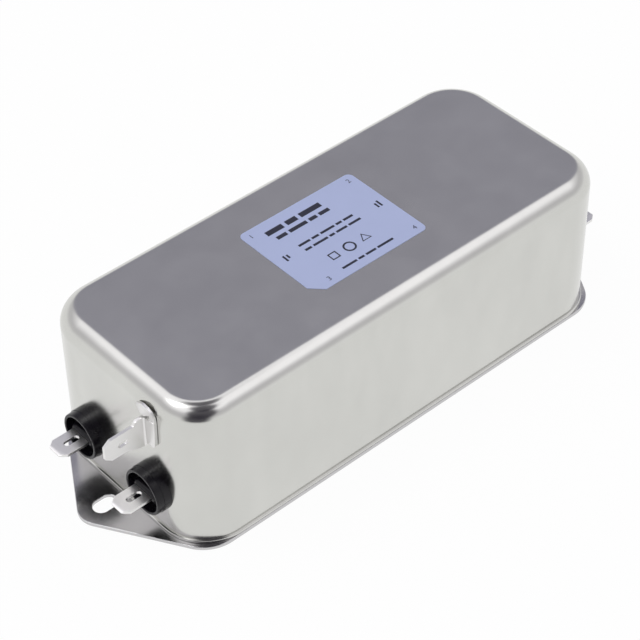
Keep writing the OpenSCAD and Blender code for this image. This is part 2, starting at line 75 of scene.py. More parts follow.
# the camera: its angles in degrees, its lens in mm, and its place in mm: from this height
# above the origin so far to the view's right and up, and then straight back
CAMERA_AZIMUTH, CAMERA_ELEVATION, CAMERA_ROLL = -41.113, 42.859, -0.738
CAMERA_LENS, CAMERA_SENSOR = 116.431, 36
AIM_HEIGHT, AIM_RIGHT, AIM_UP, CAMERA_DISTANCE = 19.65, -3.714, -3.636, 514.5

FLOOR_SIZE, FLOOR_GREY, FLOOR_GLOW = 6, 0.92, 0.965

# how bright the surroundings are from the horizon up: sine of the elevation, level
SKY_LEVELS = ((0.0, 1.0), (0.2, 0.98), (0.36, 0.76), (0.56, 0.7), (0.68, 0.92), (0.76, 1.0))
CEILING_INNER, CEILING_OUTER, CEILING_LEVEL = 36, 46, 1.38
GREY_BOARD, DARK_STAND = (0.37, 0.365, 0.43), (0.05, 0.045, 0.06)
# a grey board on the far side and dark stands: azimuth, elevation, the angle inside which
# each is full, the angle outside which it is gone, all in degrees, its share and its colour
SURROUNDINGS = (
    (140, 29, 22, 29, 1, GREY_BOARD),
    (-33, 44, 20, 30, 0.95, DARK_STAND),
    (-44, 16, 14, 32, 0.95, DARK_STAND),
    (-20, 74, 14, 20, 0.95, DARK_STAND),
    (135, 76, 10, 16, 0.95, DARK_STAND),
)
LAMP_PLACE, LAMP_TARGET = (-0.35, 0.25, 0.9), (0, 0, 0.02)
LAMP_SIZE, LAMP_POWER = 0.3, 1.2


def linear(red, green, blue):
    """Turns a colour as it is mixed on a screen, 0 to 255, into Blender's linear one."""
    def channel(value):
        value /= 255
        return value / 12.92 if value <= 0.04045 else ((value + 0.055) / 1.055) ** 2.4
    return tuple(channel(v) for v in (red, green, blue))


# ---- sizes and colours ----

def length(name, description, millimetres):
    return FloatProperty(name=name, description=description, default=millimetres * MM,
                         precision=4, unit="LENGTH")


def colour(name, description, red, green, blue):
    return FloatVectorProperty(name=name, description=description, subtype="COLOR", size=3,
                               default=linear(red, green, blue), min=0, max=1)


class LineFilterCase(bpy.types.PropertyGroup):
    wall: length("Sheet", "Thickness of the case's sheet", 0.6)
    corner: length("Corner radius", "Outside radius of the upright corners", 12.5)
    edge: length("Edge radius", "Outside radius of the edge round the top", 4.7)
    rim_out: length("Rim", "How far the turned bottom rim stands proud", 0.5)
    rim_high: length("Rim height", "Height of the turned bottom rim", 0.8)
    hole: length("Terminal hole", "Radius of the holes for the bushings", 5.3)


class LineFilterPlate(bpy.types.PropertyGroup):
    corner: length("Corner radius", "Radius of the plate's corners beside the case", 10.2)
    tip: length("Ear radius", "Radius of the ears' round tips", 5.9)
    slot_wide: length("Slot width", "Width of the mounting slots", 4.4)
    slot_long: length("Slot length", "Length of the mounting slots, end to end", 6.5)
    slot_out: length("Slot place", "From the case's end to the middle of a slot", 5.75)
    edge: length("Edge rounding", "Rounding of the stamped edges", 0.16)


class LineFilterTerminals(bpy.types.PropertyGroup):
    wide: length("Blade width", "Width of a flat blade", 6.3)
    thick: length("Blade thickness", "Thickness of a flat blade", 0.8)
    reach: length("Blade reach", "How far a blade stands out from the end wall", 11)
    tail: length("Blade tail", "How far a blade runs in from the end wall", 6.7)
    tip_long: length("Tip chamfer length", "Length of the chamfers at a blade's tip", 1.8)
    tip_in: length("Tip chamfer depth", "Depth of the chamfers at a blade's tip", 1.4)
    hole_wide: length("Hole width", "Width of a blade's locking hole", 1.6)
    hole_long: length("Hole length", "Length of a blade's locking hole", 4.1)
    hole_in: length("Hole place", "From a blade's tip to the middle of its hole", 5.1)
    earth_hole: length("Earth hole length", "Length of the earth tab's locking hole", 2.9)
    rim: length("Bushing rim radius", "Radius of a bushing at its rim", 6.05)
    base: length("Bushing base radius", "Radius of a bushing at the case", 6.3)
    stand: length("Bushing reach", "How far a bushing stands out from the end wall", 3.6)
    cup: length("Cup depth", "Depth of the cup in a bushing", 3)
    cup_wall: length("Cup wall", "Thickness of the cup's wall at the rim", 0.75)
    boss: length("Boss radius", "Radius of the domed bar round a blade's root", 1.4)


class LineFilterColours(bpy.types.PropertyGroup):
    case: colour("Case", "Satin nickel of the case", 206, 206, 202)
    plate: colour("Plate", "Rolled sheet of the base plate", 196, 195, 196)
    tin: colour("Terminals", "Tin plate of the blades", 230, 229, 228)
    bushing: colour("Bushings", "Moulded plastic of the bushings", 21, 19, 25)
    film: colour("Label", "Pale blue film of the label", 178, 189, 224)
    ink: colour("Ink", "Ink of the label's marks", 30, 32, 52)


class LineFilterSettings(bpy.types.PropertyGroup):
    case: PointerProperty(type=LineFilterCase)
    plate: PointerProperty(type=LineFilterPlate)
    terminals: PointerProperty(type=LineFilterTerminals)
    colours: PointerProperty(type=LineFilterColours)


# ---- working by hand, in code ----

def pick(*objects):
    """Selects these objects alone and makes the first one active."""
    if bpy.context.mode != "OBJECT":
        bpy.ops.object.mode_set(mode="OBJECT")
    bpy.ops.object.select_all(action="DESELECT")
    for item in objects:
        item.select_set(True)
    if objects:
        bpy.context.view_layer.objects.active = objects[0]


class editing:
    """Edit mode on one object, with nothing selected at the start."""

    def __init__(self, piece):
        self.piece = piece

    def __enter__(self):
        pick(self.piece)
        bpy.ops.object.mode_set(mode="EDIT")
        bpy.ops.mesh.select_all(action="DESELECT")

    def __exit__(self, *problem):
        bpy.ops.object.mode_set(mode="OBJECT")


def choose(piece, kind, test):
    """In edit mode, selects just the faces, edges or corners that pass the test."""
    bpy.ops.mesh.select_mode(type=kind)
    bpy.ops.mesh.select_all(action="DESELECT")
    shape = bmesh.from_edit_mesh(piece.data)
    found = [item for item in {"FACE": shape.faces, "EDGE": shape.edges,
                               "VERT": shape.verts}[kind] if test(item)]
    if not found:
        raise RuntimeError(f"{piece.name}: nothing to select")
    for item in found:
        item.select_set(True)
    shape.select_flush_mode()
    bmesh.update_edit_mesh(piece.data)


def middle(edge):
    return (edge.verts[0].co + edge.verts[1].co) / 2


def rise(edge):
    """How much higher one end of an edge is than the other."""
    return abs(edge.verts[0].co.z - edge.verts[1].co.z)


def settle(name):
    """Names the new object and puts its place, turn and size into its mesh."""
    piece = bpy.context.object
    piece.name = piece.data.name = name
    bpy.ops.object.transform_apply(location=True, rotation=True, scale=True)
    return piece


def block(name, low, high):
    low, high = Vector(low), Vector(high)
    pick()
    bpy.ops.mesh.primitive_cube_add(size=1, location=(low + high) / 2, scale=high - low)
    return settle(name)


def drum(name, radius, start, end, sides=72):
    """A cylinder along x between two places on the axis."""
    pick()
    bpy.ops.mesh.primitive_cylinder_add(vertices=sides, radius=radius, depth=end - start,
                                        location=((start + end) / 2, 0, 0),
                                        rotation=(0, pi / 2, 0))
    return settle(name)


def hull_plate(name, rounds, low, high, sides=96):
    """A flat plate between two heights, stretched round upright cylinders (x, y, radius)."""
    pick()
    for number, (x, y, radius) in enumerate(rounds):
        bpy.ops.mesh.primitive_cylinder_add(vertices=sides, radius=radius, depth=high - low,
                                            location=(x, y, (low + high) / 2))
        if number == 0:
            plate = settle(name)
            bpy.ops.object.mode_set(mode="EDIT")
    bpy.ops.mesh.select_all(action="SELECT")
    bpy.ops.mesh.convex_hull()
    bpy.ops.mesh.select_all(action="SELECT")
    bpy.ops.mesh.dissolve_limited(angle_limit=radians(0.3))
    bpy.ops.object.mode_set(mode="OBJECT")
    return plate


def prism(name, outline, axis, low, high):
    """A solid with this outline, in order round it, between two places on x, y or z."""
    flat = [i for i in range(3) if i != axis]
    corners = []
    for point in outline:
        corner = Vector((0, 0, 0))
        corner[flat[0]], corner[flat[1]], corner[axis] = point[0], point[1], low
        corners.append(corner)
    pick()
    bpy.ops.mesh.primitive_circle_add(vertices=len(corners), radius=MM, fill_type="NGON")
    solid = settle(name)
    starts = [vert.co.copy() for vert in solid.data.vertices]
    along = Vector([high - low if i == axis else 0 for i in range(3)])
    with editing(solid):
        for start, corner in zip(starts, corners):
            choose(solid, "VERT", lambda v: (v.co - start).length < TINY)
            bpy.ops.transform.translate(value=corner - start)
        bpy.ops.mesh.select_mode(type="FACE")
        bpy.ops.mesh.select_all(action="SELECT")
        bpy.ops.mesh.extrude_region_move(TRANSFORM_OT_translate={"value": along})
        bpy.ops.mesh.select_all(action="SELECT")
        bpy.ops.mesh.normals_make_consistent(inside=False)
    return solid


def arc(centre, radius, start, end, steps):
    """Points on part of a circle, from one angle to another, in degrees."""
    turns = [radians(start + (end - start) * i / steps) for i in range(steps + 1)]
    return [(centre[0] + radius * cos(turn), centre[1] + radius * sin(turn)) for turn in turns]


def finish_with(piece, kind, **values):
    """Adds a modifier with these values and applies it."""
    pick(piece)
    modifier = piece.modifiers.new(kind.title(), kind)
    for name, value in values.items():
        setattr(modifier, name, value)
    bpy.ops.object.modifier_apply(modifier=modifier.name)


def combine(piece, other, operation):
    """Cuts the other shape out of the piece, adds it or keeps what both share."""
    finish_with(piece, "BOOLEAN", operation=operation, object=other, solver="EXACT")
    bpy.data.objects.remove(other)
    if not piece.data.polygons:
        raise RuntimeError(f"{piece.name}: nothing is left")


def score(point, normal):
    """In edit mode, cuts an edge loop where a plane passes, and takes nothing away."""
    bpy.ops.mesh.select_all(action="SELECT")
    bpy.ops.mesh.bisect(plane_co=point, plane_no=normal, threshold=0.001 * MM)


def moved(shape, place, turn):
    """Turns a shape about z, moves it and puts its new place into its mesh."""
    pick(shape)
    shape.location = place
    shape.rotation_euler = (0, 0, turn)
    return settle(shape.name)


def copy_of(piece, name, place, turn):
    """A copy with its own mesh, turned about z and moved."""
    pick(piece)
    bpy.ops.object.duplicate(linked=False)
    bpy.context.object.name = name
    return moved(bpy.context.object, place, turn)


def complete(piece, nodes, material, smooth=32):
    """Shades a finished piece, gives it its material and ties it to the CAD frame."""
    pick(piece)
    bpy.ops.object.shade_smooth_by_angle(angle=radians(smooth))
    finish_with(piece, "WEIGHTED_NORMAL", keep_sharp=True, weight=100)
    piece.data.materials.clear()
    piece.data.materials.append(material)
    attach(piece, "root")
    if nodes:
        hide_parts(*nodes)
    return piece


# ---- materials ----

def surface_group():
    """Node group: fine grain and broad mottling over a surface, each from 0 to 1."""
    name = "Surface Variation"
    if name in bpy.data.node_groups:
        return bpy.data.node_groups[name]
    group = bpy.data.node_groups.new(name, "ShaderNodeTree")
    for socket, value in (("Grain Scale", 2500.0), ("Mottle Scale", 90.0), ("Stretch", 1.0)):
        made = group.interface.new_socket(name=socket, in_out="INPUT",
                                          socket_type="NodeSocketFloat")
        made.default_value = value
    for socket in ("Grain", "Mottle"):
        group.interface.new_socket(name=socket, in_out="OUTPUT", socket_type="NodeSocketFloat")
    nodes, links = group.nodes, group.links
    start, end = nodes.new("NodeGroupInput"), nodes.new("NodeGroupOutput")
    place = nodes.new("ShaderNodeTexCoord")
    stretched = nodes.new("ShaderNodeCombineXYZ")
    stretched.inputs["X"].default_value = stretched.inputs["Y"].default_value = 1
    links.new(start.outputs["Stretch"], stretched.inputs["Z"])
    scaled = nodes.new("ShaderNodeVectorMath")
    scaled.operation = "MULTIPLY"
    links.new(place.outputs["Object"], scaled.inputs[0])
    links.new(stretched.outputs["Vector"], scaled.inputs[1])
    for output, socket, detail, rough in (("Grain", "Grain Scale", 3, 0.6),
                                          ("Mottle", "Mottle Scale", 4, 0.55)):
        noise = nodes.new("ShaderNodeTexNoise")
        noise.inputs["Detail"].default_value = detail
        noise.inputs["Roughness"].default_value = rough
        links.new(place.outputs["Object"] if output == "Grain" else scaled.outputs["Vector"],
                  noise.inputs["Vector"])
        links.new(start.outputs[socket], noise.inputs["Scale"])
        links.new(noise.outputs["Fac"], end.inputs[output])
    return group


def make_material(name, base, metal, rough, grain, mottle, tint, depth, stretch=1.0, sockets=()):
    """A surface with its own grain, mottling and tint round one base colour.

    grain and mottle are noise scales, where a larger one is finer. tint is the share by which
    the colour changes, depth the grain's height in mm, and stretch under 1 draws the mottling
    out upwards.
    """
    material = bpy.data.materials.new(name)
    material.use_nodes = True
    nodes, links = material.node_tree.nodes, material.node_tree.links
    shader = nodes["Principled BSDF"]
    shader.inputs["Metallic"].default_value = metal
    for socket, value in sockets:
        shader.inputs[socket].default_value = value
    surface = nodes.new("ShaderNodeGroup")
    surface.node_tree = surface_group()
    for socket, value in (("Grain Scale", grain), ("Mottle Scale", mottle),
                          ("Stretch", stretch)):
        surface.inputs[socket].default_value = value
    shades = nodes.new("ShaderNodeMix")
    shades.data_type = "RGBA"
    shades.inputs["A"].default_value = (*[min(1, c * (1 - tint)) for c in base], 1)
    shades.inputs["B"].default_value = (*[min(1, c * (1 + tint)) for c in base], 1)
    links.new(surface.outputs["Mottle"], shades.inputs["Factor"])
    links.new(shades.outputs["Result"], shader.inputs["Base Color"])
    gloss = nodes.new("ShaderNodeMapRange")
    for socket, value in (("From Min", 0.3), ("From Max", 0.7), ("To Min", rough[0]),
                          ("To Max", rough[1])):
        gloss.inputs[socket].default_value = value
    links.new(surface.outputs["Mottle"], gloss.inputs["Value"])
    links.new(gloss.outputs["Result"], shader.inputs["Roughness"])
    bump = nodes.new("ShaderNodeBump")
    bump.inputs["Strength"].default_value = 1
    bump.inputs["Distance"].default_value = depth * MM
    links.new(surface.outputs["Grain"], bump.inputs["Height"])
    links.new(bump.outputs["Normal"], shader.inputs["Normal"])
    return material


def finish_named(name):
    """The material of one finish, made when it is first asked for."""
    if name in bpy.data.materials:
        return bpy.data.materials[name]
    c = bpy.context.scene.line_filter.colours
    recipes = {
        "satin nickel": dict(base=c.case, metal=1, rough=(0.17, 0.2), grain=5200, mottle=85,
                             stretch=0.45, tint=0.09, depth=0.0014),
        "rolled sheet": dict(base=c.plate, metal=1, rough=(0.15, 0.24), grain=3600, mottle=150,
                             tint=0.05, depth=0.0014),
        "tin plate": dict(base=c.tin, metal=1, rough=(0.3, 0.36), grain=4200, mottle=420,
                          tint=0.04, depth=0.0012),
        "moulded plastic": dict(base=c.bushing, metal=0, rough=(0.22, 0.32), grain=5200,
                                mottle=260, tint=0.18, depth=0.002,
                                sockets=(("Specular IOR Level", 0.28),)),
        "label film": dict(base=c.film, metal=0, rough=(0.34, 0.46), grain=5200, mottle=240,
                           tint=0.02, depth=0.0015),
        "label ink": dict(base=c.ink, metal=0, rough=(0.4, 0.55), grain=7000, mottle=2600,
                          tint=0.25, depth=0.002),
        "glass laminate": dict(base=linear(58, 118, 80), metal=0, rough=(0.3, 0.45), grain=1500,
                               mottle=900, tint=0.12, depth=0.01),
        "fish paper": dict(base=linear(214, 204, 170), metal=0, rough=(0.55, 0.7), grain=2600,
                           mottle=320, tint=0.08, depth=0.01),
        "natural nylon": dict(base=linear(230, 227, 218), metal=0, rough=(0.35, 0.5),
                              grain=3200, mottle=200, tint=0.05, depth=0.003),
        "potting resin": dict(base=linear(48, 44, 40), metal=0, rough=(0.2, 0.45), grain=900,
                              mottle=110, tint=0.3, depth=0.02),
        "core coating": dict(base=linear(64, 110, 92), metal=0, rough=(0.35, 0.55), grain=1800,
                             mottle=260, tint=0.12, depth=0.02),
        "enamelled copper": dict(base=linear(190, 102, 52), metal=1, rough=(0.18, 0.3),
                                 grain=3800, mottle=420, tint=0.12, depth=0.003),
        "capacitor case": dict(base=linear(206, 178, 62), metal=0, rough=(0.35, 0.5),
                               grain=2600, mottle=260, tint=0.06, depth=0.005),
        "disc lacquer": dict(base=linear(46, 96, 158), metal=0, rough=(0.18, 0.32), grain=1500,
                             mottle=380, tint=0.14, depth=0.012),
        "resistor body": dict(base=linear(206, 190, 150), metal=0, rough=(0.25, 0.4),
                              grain=2200, mottle=500, tint=0.08, depth=0.006),
    }
    return make_material(name, **recipes[name])


INNER_FINISHES = {
    "can_metal": "satin nickel", "plate_metal": "rolled sheet", "terminal_metal": "tin plate",
    "bushing_plastic": "moulded plastic", "label_film": "label film",
    "board_laminate": "glass laminate", "sheet_film": "fish paper",
    "post_plastic": "natural nylon", "compound": "potting resin",
    "core_coating": "core coating", "copper_wire": "enamelled copper",
    "capacitor_case": "capacitor case", "disc_lacquer": "disc lacquer",
    "resistor_body": "resistor body",
}


# ---- the pieces ----

def terminal_places():
    """Each terminal's CAD names, its place on the end wall and its turn about z."""
    for end, turn in (("line", pi), ("load", 0)):
        for side in (1, 2):
            low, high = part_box(f"{end}_blade_{side}")
            wall = LINE_WALL if turn else LOAD_WALL
            yield end, side, (wall, (low.y + high.y) / 2, (low.z + high.z) / 2), turn


def model_case(sizes):
    low = Vector((CASE_LOW.x + sizes.rim_out, CASE_LOW.y + sizes.rim_out, CASE_LOW.z))
    high = Vector((CASE_HIGH.x - sizes.rim_out, CASE_HIGH.y - sizes.rim_out, CASE_HIGH.z))
    case = block("can_shell", low, high)
    with editing(case):
        choose(case, "EDGE", lambda e: rise(e) > MM)
        bpy.ops.mesh.bevel(offset=sizes.corner, segments=CORNER_STEPS, profile=0.5,
                           affect="EDGES")
        choose(case, "EDGE", lambda e: all(v.co.z > high.z - TINY for v in e.verts))
        bpy.ops.mesh.bevel(offset=sizes.edge, segments=14, profile=0.5, affect="EDGES")
        choose(case, "FACE", lambda f: f.normal.z < -0.9)
        bpy.ops.mesh.delete(type="FACE")
    finish_with(case, "SOLIDIFY", thickness=sizes.wall, offset=-1, use_even_offset=True)

    rim_top = low.z + sizes.rim_high

    def faces_out(face):
        """An upright face below the rim's top that looks away from the middle."""
        centre = face.calc_center_median()
        return (centre.z < rim_top and abs(face.normal.z) < 0.1
                and face.normal.dot(Vector((centre.x / 3, centre.y, 0))) > 0)

    def proud(edge):
        """A sharp level edge of the rim, outside the wall."""
        return (all(v.co.z < rim_top + TINY for v in edge.verts) and rise(edge) < TINY
                and len(edge.link_faces) == 2 and edge.calc_face_angle(0) > 1
                and outside(middle(edge), high, sizes.corner) > 0.3 * sizes.rim_out)

    with editing(case):
        score((0, 0, rim_top), (0, 0, 1))
        choose(case, "FACE", faces_out)
        bpy.ops.mesh.extrude_region_shrink_fatten(
            TRANSFORM_OT_shrink_fatten={"value": sizes.rim_out, "use_even_offset": True})
        choose(case, "EDGE", proud)
        bpy.ops.mesh.bevel(offset=0.24 * MM, segments=3, profile=0.5, affect="EDGES")
    for _, _, place, _ in terminal_places():
        hole = drum("hole", sizes.hole, -4 * MM, 4 * MM)
        hole.location = place
        combine(case, hole, "DIFFERENCE")
    return complete(case, ["can"], finish_named("satin nickel"), smooth=24)


def outside(point, high, radius):
    """How far a point lies outside the case's wall, seen from above."""
    x = max(0, abs(point.x) - (high.x - radius))
    y = max(0, abs(point.y) - (high.y - radius))
    return (x * x + y * y) ** 0.5 - radius


def model_plate(sizes):
    half_long = CASE_HIGH.x + 0.1 * MM      # the plate shows a little round the case's rim
    half_wide = PLATE_HIGH.y
    corner = (half_long - sizes.corner, half_wide - sizes.corner)
    tip = PLATE_HIGH.x - sizes.tip
    rounds = [(sx * corner[0], sy * corner[1], sizes.corner) for sx in (-1, 1) for sy in (-1, 1)]
    rounds += [(sx * tip, 0, sizes.tip) for sx in (-1, 1)]
    plate = hull_plate("base_plate_sheet", rounds, PLATE_LOW.z, PLATE_HIGH.z)
    slot = (sizes.slot_long - sizes.slot_wide) / 2
    for end in (-1, 1):
        x = end * (LOAD_WALL + sizes.slot_out)
        cutter = hull_plate("slot", [(x - slot, 0, sizes.slot_wide / 2),
                                     (x + slot, 0, sizes.slot_wide / 2)],
                            PLATE_LOW.z - MM, PLATE_HIGH.z + MM, sides=64)
        combine(plate, cutter, "DIFFERENCE")
    finish_with(plate, "BEVEL", width=sizes.edge, segments=3, limit_method="ANGLE",
                angle_limit=radians(40), harden_normals=False)
    return complete(plate, ["base_plate"], finish_named("rolled sheet"))


def model_bushings(sizes, case):
    """One bushing along x with the end wall's face at zero, then a copy at each terminal."""
    collar = 0.48 * sizes.stand     # the collar is straight, and the cup before it narrows
    step = 0.1 * MM
    cup = drum("bushing", sizes.base, -0.5 * MM, collar)
    narrow = sizes.rim / (sizes.base - step)
    with editing(cup):
        choose(cup, "FACE", lambda f: f.normal.x > 0.9 and len(f.verts) > 8)
        bpy.ops.mesh.inset(thickness=step)
        bpy.ops.mesh.extrude_region_move(
            TRANSFORM_OT_translate={"value": (sizes.stand - collar, 0, 0)})
        bpy.ops.transform.resize(value=(1, narrow, narrow), center_override=(sizes.stand, 0, 0))
        bpy.ops.mesh.inset(thickness=sizes.cup_wall)
        bpy.ops.mesh.extrude_region_move(TRANSFORM_OT_translate={"value": (-sizes.cup, 0, 0)})
        choose(cup, "EDGE", lambda e: abs(middle(e).x - sizes.stand) < TINY
               and e.calc_face_angle(0) > 1)
        bpy.ops.mesh.bevel(offset=0.2 * MM, segments=3, profile=0.5, affect="EDGES")
        choose(cup, "EDGE", lambda e: abs(middle(e).x - (sizes.stand - sizes.cup)) < TINY
               and e.calc_face_angle(0) > 1)
        bpy.ops.mesh.bevel(offset=0.25 * MM, segments=3, profile=0.5, affect="EDGES")
    boss_x = sizes.stand - sizes.boss - 0.35 * MM
    stretch = sizes.wide / 2 + 1.05 * MM - sizes.boss
    pick()
    bpy.ops.mesh.primitive_uv_sphere_add(segments=40, ring_count=19, radius=sizes.boss,
                                         location=(boss_x, 0, 0), rotation=(pi / 2, 0, 0))
    boss = settle("boss")
    with editing(boss):
        for side in (-1, 1):
            choose(boss, "VERT", lambda v: v.co.y * side > 0)
            bpy.ops.transform.translate(value=(0, side * stretch, 0))
        choose(boss, "VERT", lambda v: v.co.x < boss_x - TINY)
        bpy.ops.transform.translate(value=(-0.7 * MM, 0, 0))
    combine(cup, boss, "UNION")
    bore = case.hole - BUSHING_GAP
    combine(cup, drum("neck", bore, -FLANGE_BACK, 0.2 * MM), "UNION")
    half_wide, half_thick = sizes.wide / 2 + BLADE_GAP, sizes.thick / 2 + BLADE_GAP

    def slit(out):
        """The room for a blade, from behind the flange out to a place on x."""
        return block("slit", (-3 * MM, -half_wide, -half_thick), (out, half_wide, half_thick))
    combine(cup, slit(sizes.stand + MM), "DIFFERENCE")

    for end, side, place, turn in terminal_places():
        bushing = copy_of(cup, f"{end}_bushing_{side}_moulding", place, turn)
        flange = moved(drum("flange", sizes.base, -FLANGE_BACK, -case.wall), place, turn)
        combine(flange, case_block("room", case, case.wall + BUSHING_GAP), "INTERSECT")
        combine(flange, moved(slit(MM), place, turn), "DIFFERENCE")
        # what would lie in the wall is cut off the collar
        ring = moved(drum("ring", sizes.base + MM, -0.6 * MM, 0), place, turn)
        combine(ring, moved(drum("bore", bore, -MM, MM), place, turn), "DIFFERENCE")
        combine(ring, case_block("body", case, 0), "INTERSECT")
        combine(bushing, ring, "DIFFERENCE")
        combine(bushing, flange, "UNION")
        complete(bushing, [f"{end}_bushing_{side}"],
                 finish_named("moulded plastic"), smooth=30)
    bpy.data.objects.remove(cup)


def case_block(name, sizes, inset):
    """The case's outer form as a solid, drawn in by a distance."""
    low = Vector((CASE_LOW.x + sizes.rim_out + inset, CASE_LOW.y + sizes.rim_out + inset,
                  CASE_LOW.z))
    high = Vector((-low.x, -low.y, CASE_HIGH.z - sizes.edge))
    solid = block(name, low, high)
    with editing(solid):
        choose(solid, "EDGE", lambda e: rise(e) > MM)
        bpy.ops.mesh.bevel(offset=sizes.corner - inset, segments=CORNER_STEPS, profile=0.5,
                           affect="EDGES")
    return solid


def blade_along_x(name, sizes, root):
    """A flat blade along x, lying in the xy plane, from its root to its chamfered tip."""
    half, thick, reach = sizes.wide / 2, sizes.thick / 2, sizes.reach
    blade = block(name, (root, -half, -thick), (reach, half, thick))
    lead = 0.9 * sizes.thick    # the tip is pressed thinner over this length
    with editing(blade):
        choose(blade, "EDGE", lambda e: middle(e).x > reach - TINY
               and abs(middle(e).y) > half - TINY)
        bpy.ops.mesh.bevel(offset=sizes.tip_in, segments=1, affect="EDGES")
        choose(blade, "VERT", lambda v: abs(v.co.x - (reach - sizes.tip_in)) < TINY)
        bpy.ops.transform.translate(value=(sizes.tip_in - sizes.tip_long, 0, 0))
        score((reach - lead, 0, 0), (1, 0, 0))
        choose(blade, "VERT", lambda v: v.co.x > reach - TINY)
        bpy.ops.transform.resize(value=(1, 1, 0.45), center_override=(reach, 0, 0))
    hole = (sizes.hole_long - sizes.hole_wide) / 2
    middle_x = reach - sizes.hole_in
    cutter = hull_plate("hole", [(middle_x - hole, 0, sizes.hole_wide / 2),
                                 (middle_x + hole, 0, sizes.hole_wide / 2)],
                        -MM, MM, sides=40)
    combine(blade, cutter, "DIFFERENCE")
    return blade


def model_blades(sizes):
    blade = blade_along_x("blade", sizes, -sizes.tail)
    pick()
    bpy.ops.mesh.primitive_cylinder_add(vertices=32, radius=0.7 * MM, depth=2 * MM,
                                        location=(-sizes.tail + 1.6 * MM, 0, 0))
    combine(blade, settle("tail_hole"), "DIFFERENCE")
    finish_with(blade, "BEVEL", width=0.09 * MM, segments=2, limit_method="ANGLE",
                angle_limit=radians(25))
    for end, side, place, turn in terminal_places():
        complete(copy_of(blade, f"{end}_blade_{side}_plated", place, turn),
                 [f"{end}_blade_{side}"], finish_named("tin plate"))
    bpy.data.objects.remove(blade)


def bowed_sheet(name, start, end, bow, thick, low, high, bend=None):
    """An upright sheet on the line end's wall, bowed outwards between two places on y.

    With a bend, its radius and a place on x, the sheet turns off the wall and runs out there.
    """
    wall = LINE_WALL - 0.02 * MM    # just clear of the wall
    outer = [(wall - thick - bow * sin(pi * i / 10) ** 0.8, start + (end - start) * i / 10)
             for i in range(11)]
    inner = [(x + thick, y) for x, y in reversed(outer)]
    if bend is None:
        return prism(name, outer + inner, 2, low, high)
    radius, tip = bend
    centre = (wall - thick - radius, end)
    turned = (arc(centre, radius, 0, 90, 6)[1:] + [(tip, end + radius)]
              + [(tip, end + radius + thick)] + arc(centre, radius + thick, 90, 0, 9))
    return prism(name, outer + turned + inner[1:], 2, low, high)


def model_earth_tab(sizes):
    """The earth tab: a bowed foot welded to the wall, and the blade that bends off it."""
    wall = LINE_WALL
    level = EARTH_LOW.z + 3.8 * MM      # the blade's middle
    near = EARTH_HIGH.y - 2.8 * MM      # the blade's face on the near side
    tip, bend = EARTH_LOW.x, 0.5 * MM
    strip = bowed_sheet("earth_tab_strip", near - 4 * MM, near - bend, 0.3 * MM, sizes.thick,
                        level - 6 * MM, level + 7 * MM, (bend, tip))

    def at(points, along):
        """Points in mm from a place on x or y and from the blade's middle."""
        return [(along + u * MM, level + v * MM) for u, v in points]
    half, deep = sizes.wide / 2 / MM, sizes.tip_in / MM
    reach, slope = (tip - wall) / MM, sizes.tip_long / MM
    blade_outline = at([
        (reach, half - deep), (reach + slope, half), (-4.1, half), (-3.75, half + 0.12),
        (-3.3, half + 0.95), (-2.8, half + 1.15), (-1.6, half + 1.2), (-0.95, half + 1.2),
        (-0.95, -half - 1.55), (-2.3, -half - 1.4), (-3.6, -half - 1.0),
        (-5.2, -half - 0.25), (-6.4, -half), (reach + slope, -half),
        (reach, -half + deep)], wall)
    leaf_outline = at([
        (1.1, -4.7), (0.4, -4.65), (-0.2, -4.35), (-0.7, -3.85), (-1.2, -3.2), (-1.7, -2.85),
        (-2.2, -2.8), (-2.7, -3.0), (-3.2, -3.0), (-3.5, -2.6), (-3.65, -1.0), (-3.8, 2.0),
        (-3.8, 5.0), (-2.6, 5.0), (-1.9, 4.9), (-1.2, 4.55), (-0.6, 4.35), (1.1, 4.35)], near)
    horn_outline = at([
        (-3.77, 4.2), (-3.82, 5.2), (-3.6, 6.4), (-2.9, 7.7), (-1.9, 8.4), (-0.2, 8.7),
        (0.9, 8.3), (1.9, 7.7), (2.5, 7.2), (2.6, 6.6), (2.2, 5.95), (1.4, 5.4), (0.6, 5.05),
        (-0.4, 5.2), (-0.9, 5.5), (-1.9, 6.2), (-2.3, 6.3), (-2.45, 5.9), (-2.1, 5.3),
        (-2.0, 4.7), (-2.3, 4.3), (-2.8, 4.2)], near)
    kept = prism("kept", blade_outline, 1, near - 0.4 * MM, near + 1.2 * sizes.thick)
    combine(kept, prism("leaf", leaf_outline, 0, wall - 1.7 * MM, wall + MM), "UNION")
    combine(strip, kept, "INTERSECT")
    hole, hole_x = (sizes.earth_hole - sizes.hole_wide) / 2, tip + sizes.hole_in
    punch = hull_plate("punch", [(hole_x - hole, 0, sizes.hole_wide / 2),
                                 (hole_x + hole, 0, sizes.hole_wide / 2)],
                       -MM, 2 * MM, sides=40)
    punch.matrix_world = Matrix.Translation((0, near, level)) @ Matrix.Rotation(-pi / 2, 4, "X")
    combine(strip, punch, "DIFFERENCE")
    horn = bowed_sheet("horn", near - 4.2 * MM, near + 3 * MM, 0.42 * MM, 0.68 * MM,
                       level + 3 * MM, level + 10 * MM)
    combine(horn, prism("part", horn_outline, 0, wall - 1.7 * MM, wall + MM), "INTERSECT")
    combine(strip, horn, "UNION")
    finish_with(strip, "BEVEL", width=0.1 * MM, segments=2, limit_method="ANGLE",
                angle_limit=radians(35))
    return complete(strip, ["earth_tab"], finish_named("tin plate"))


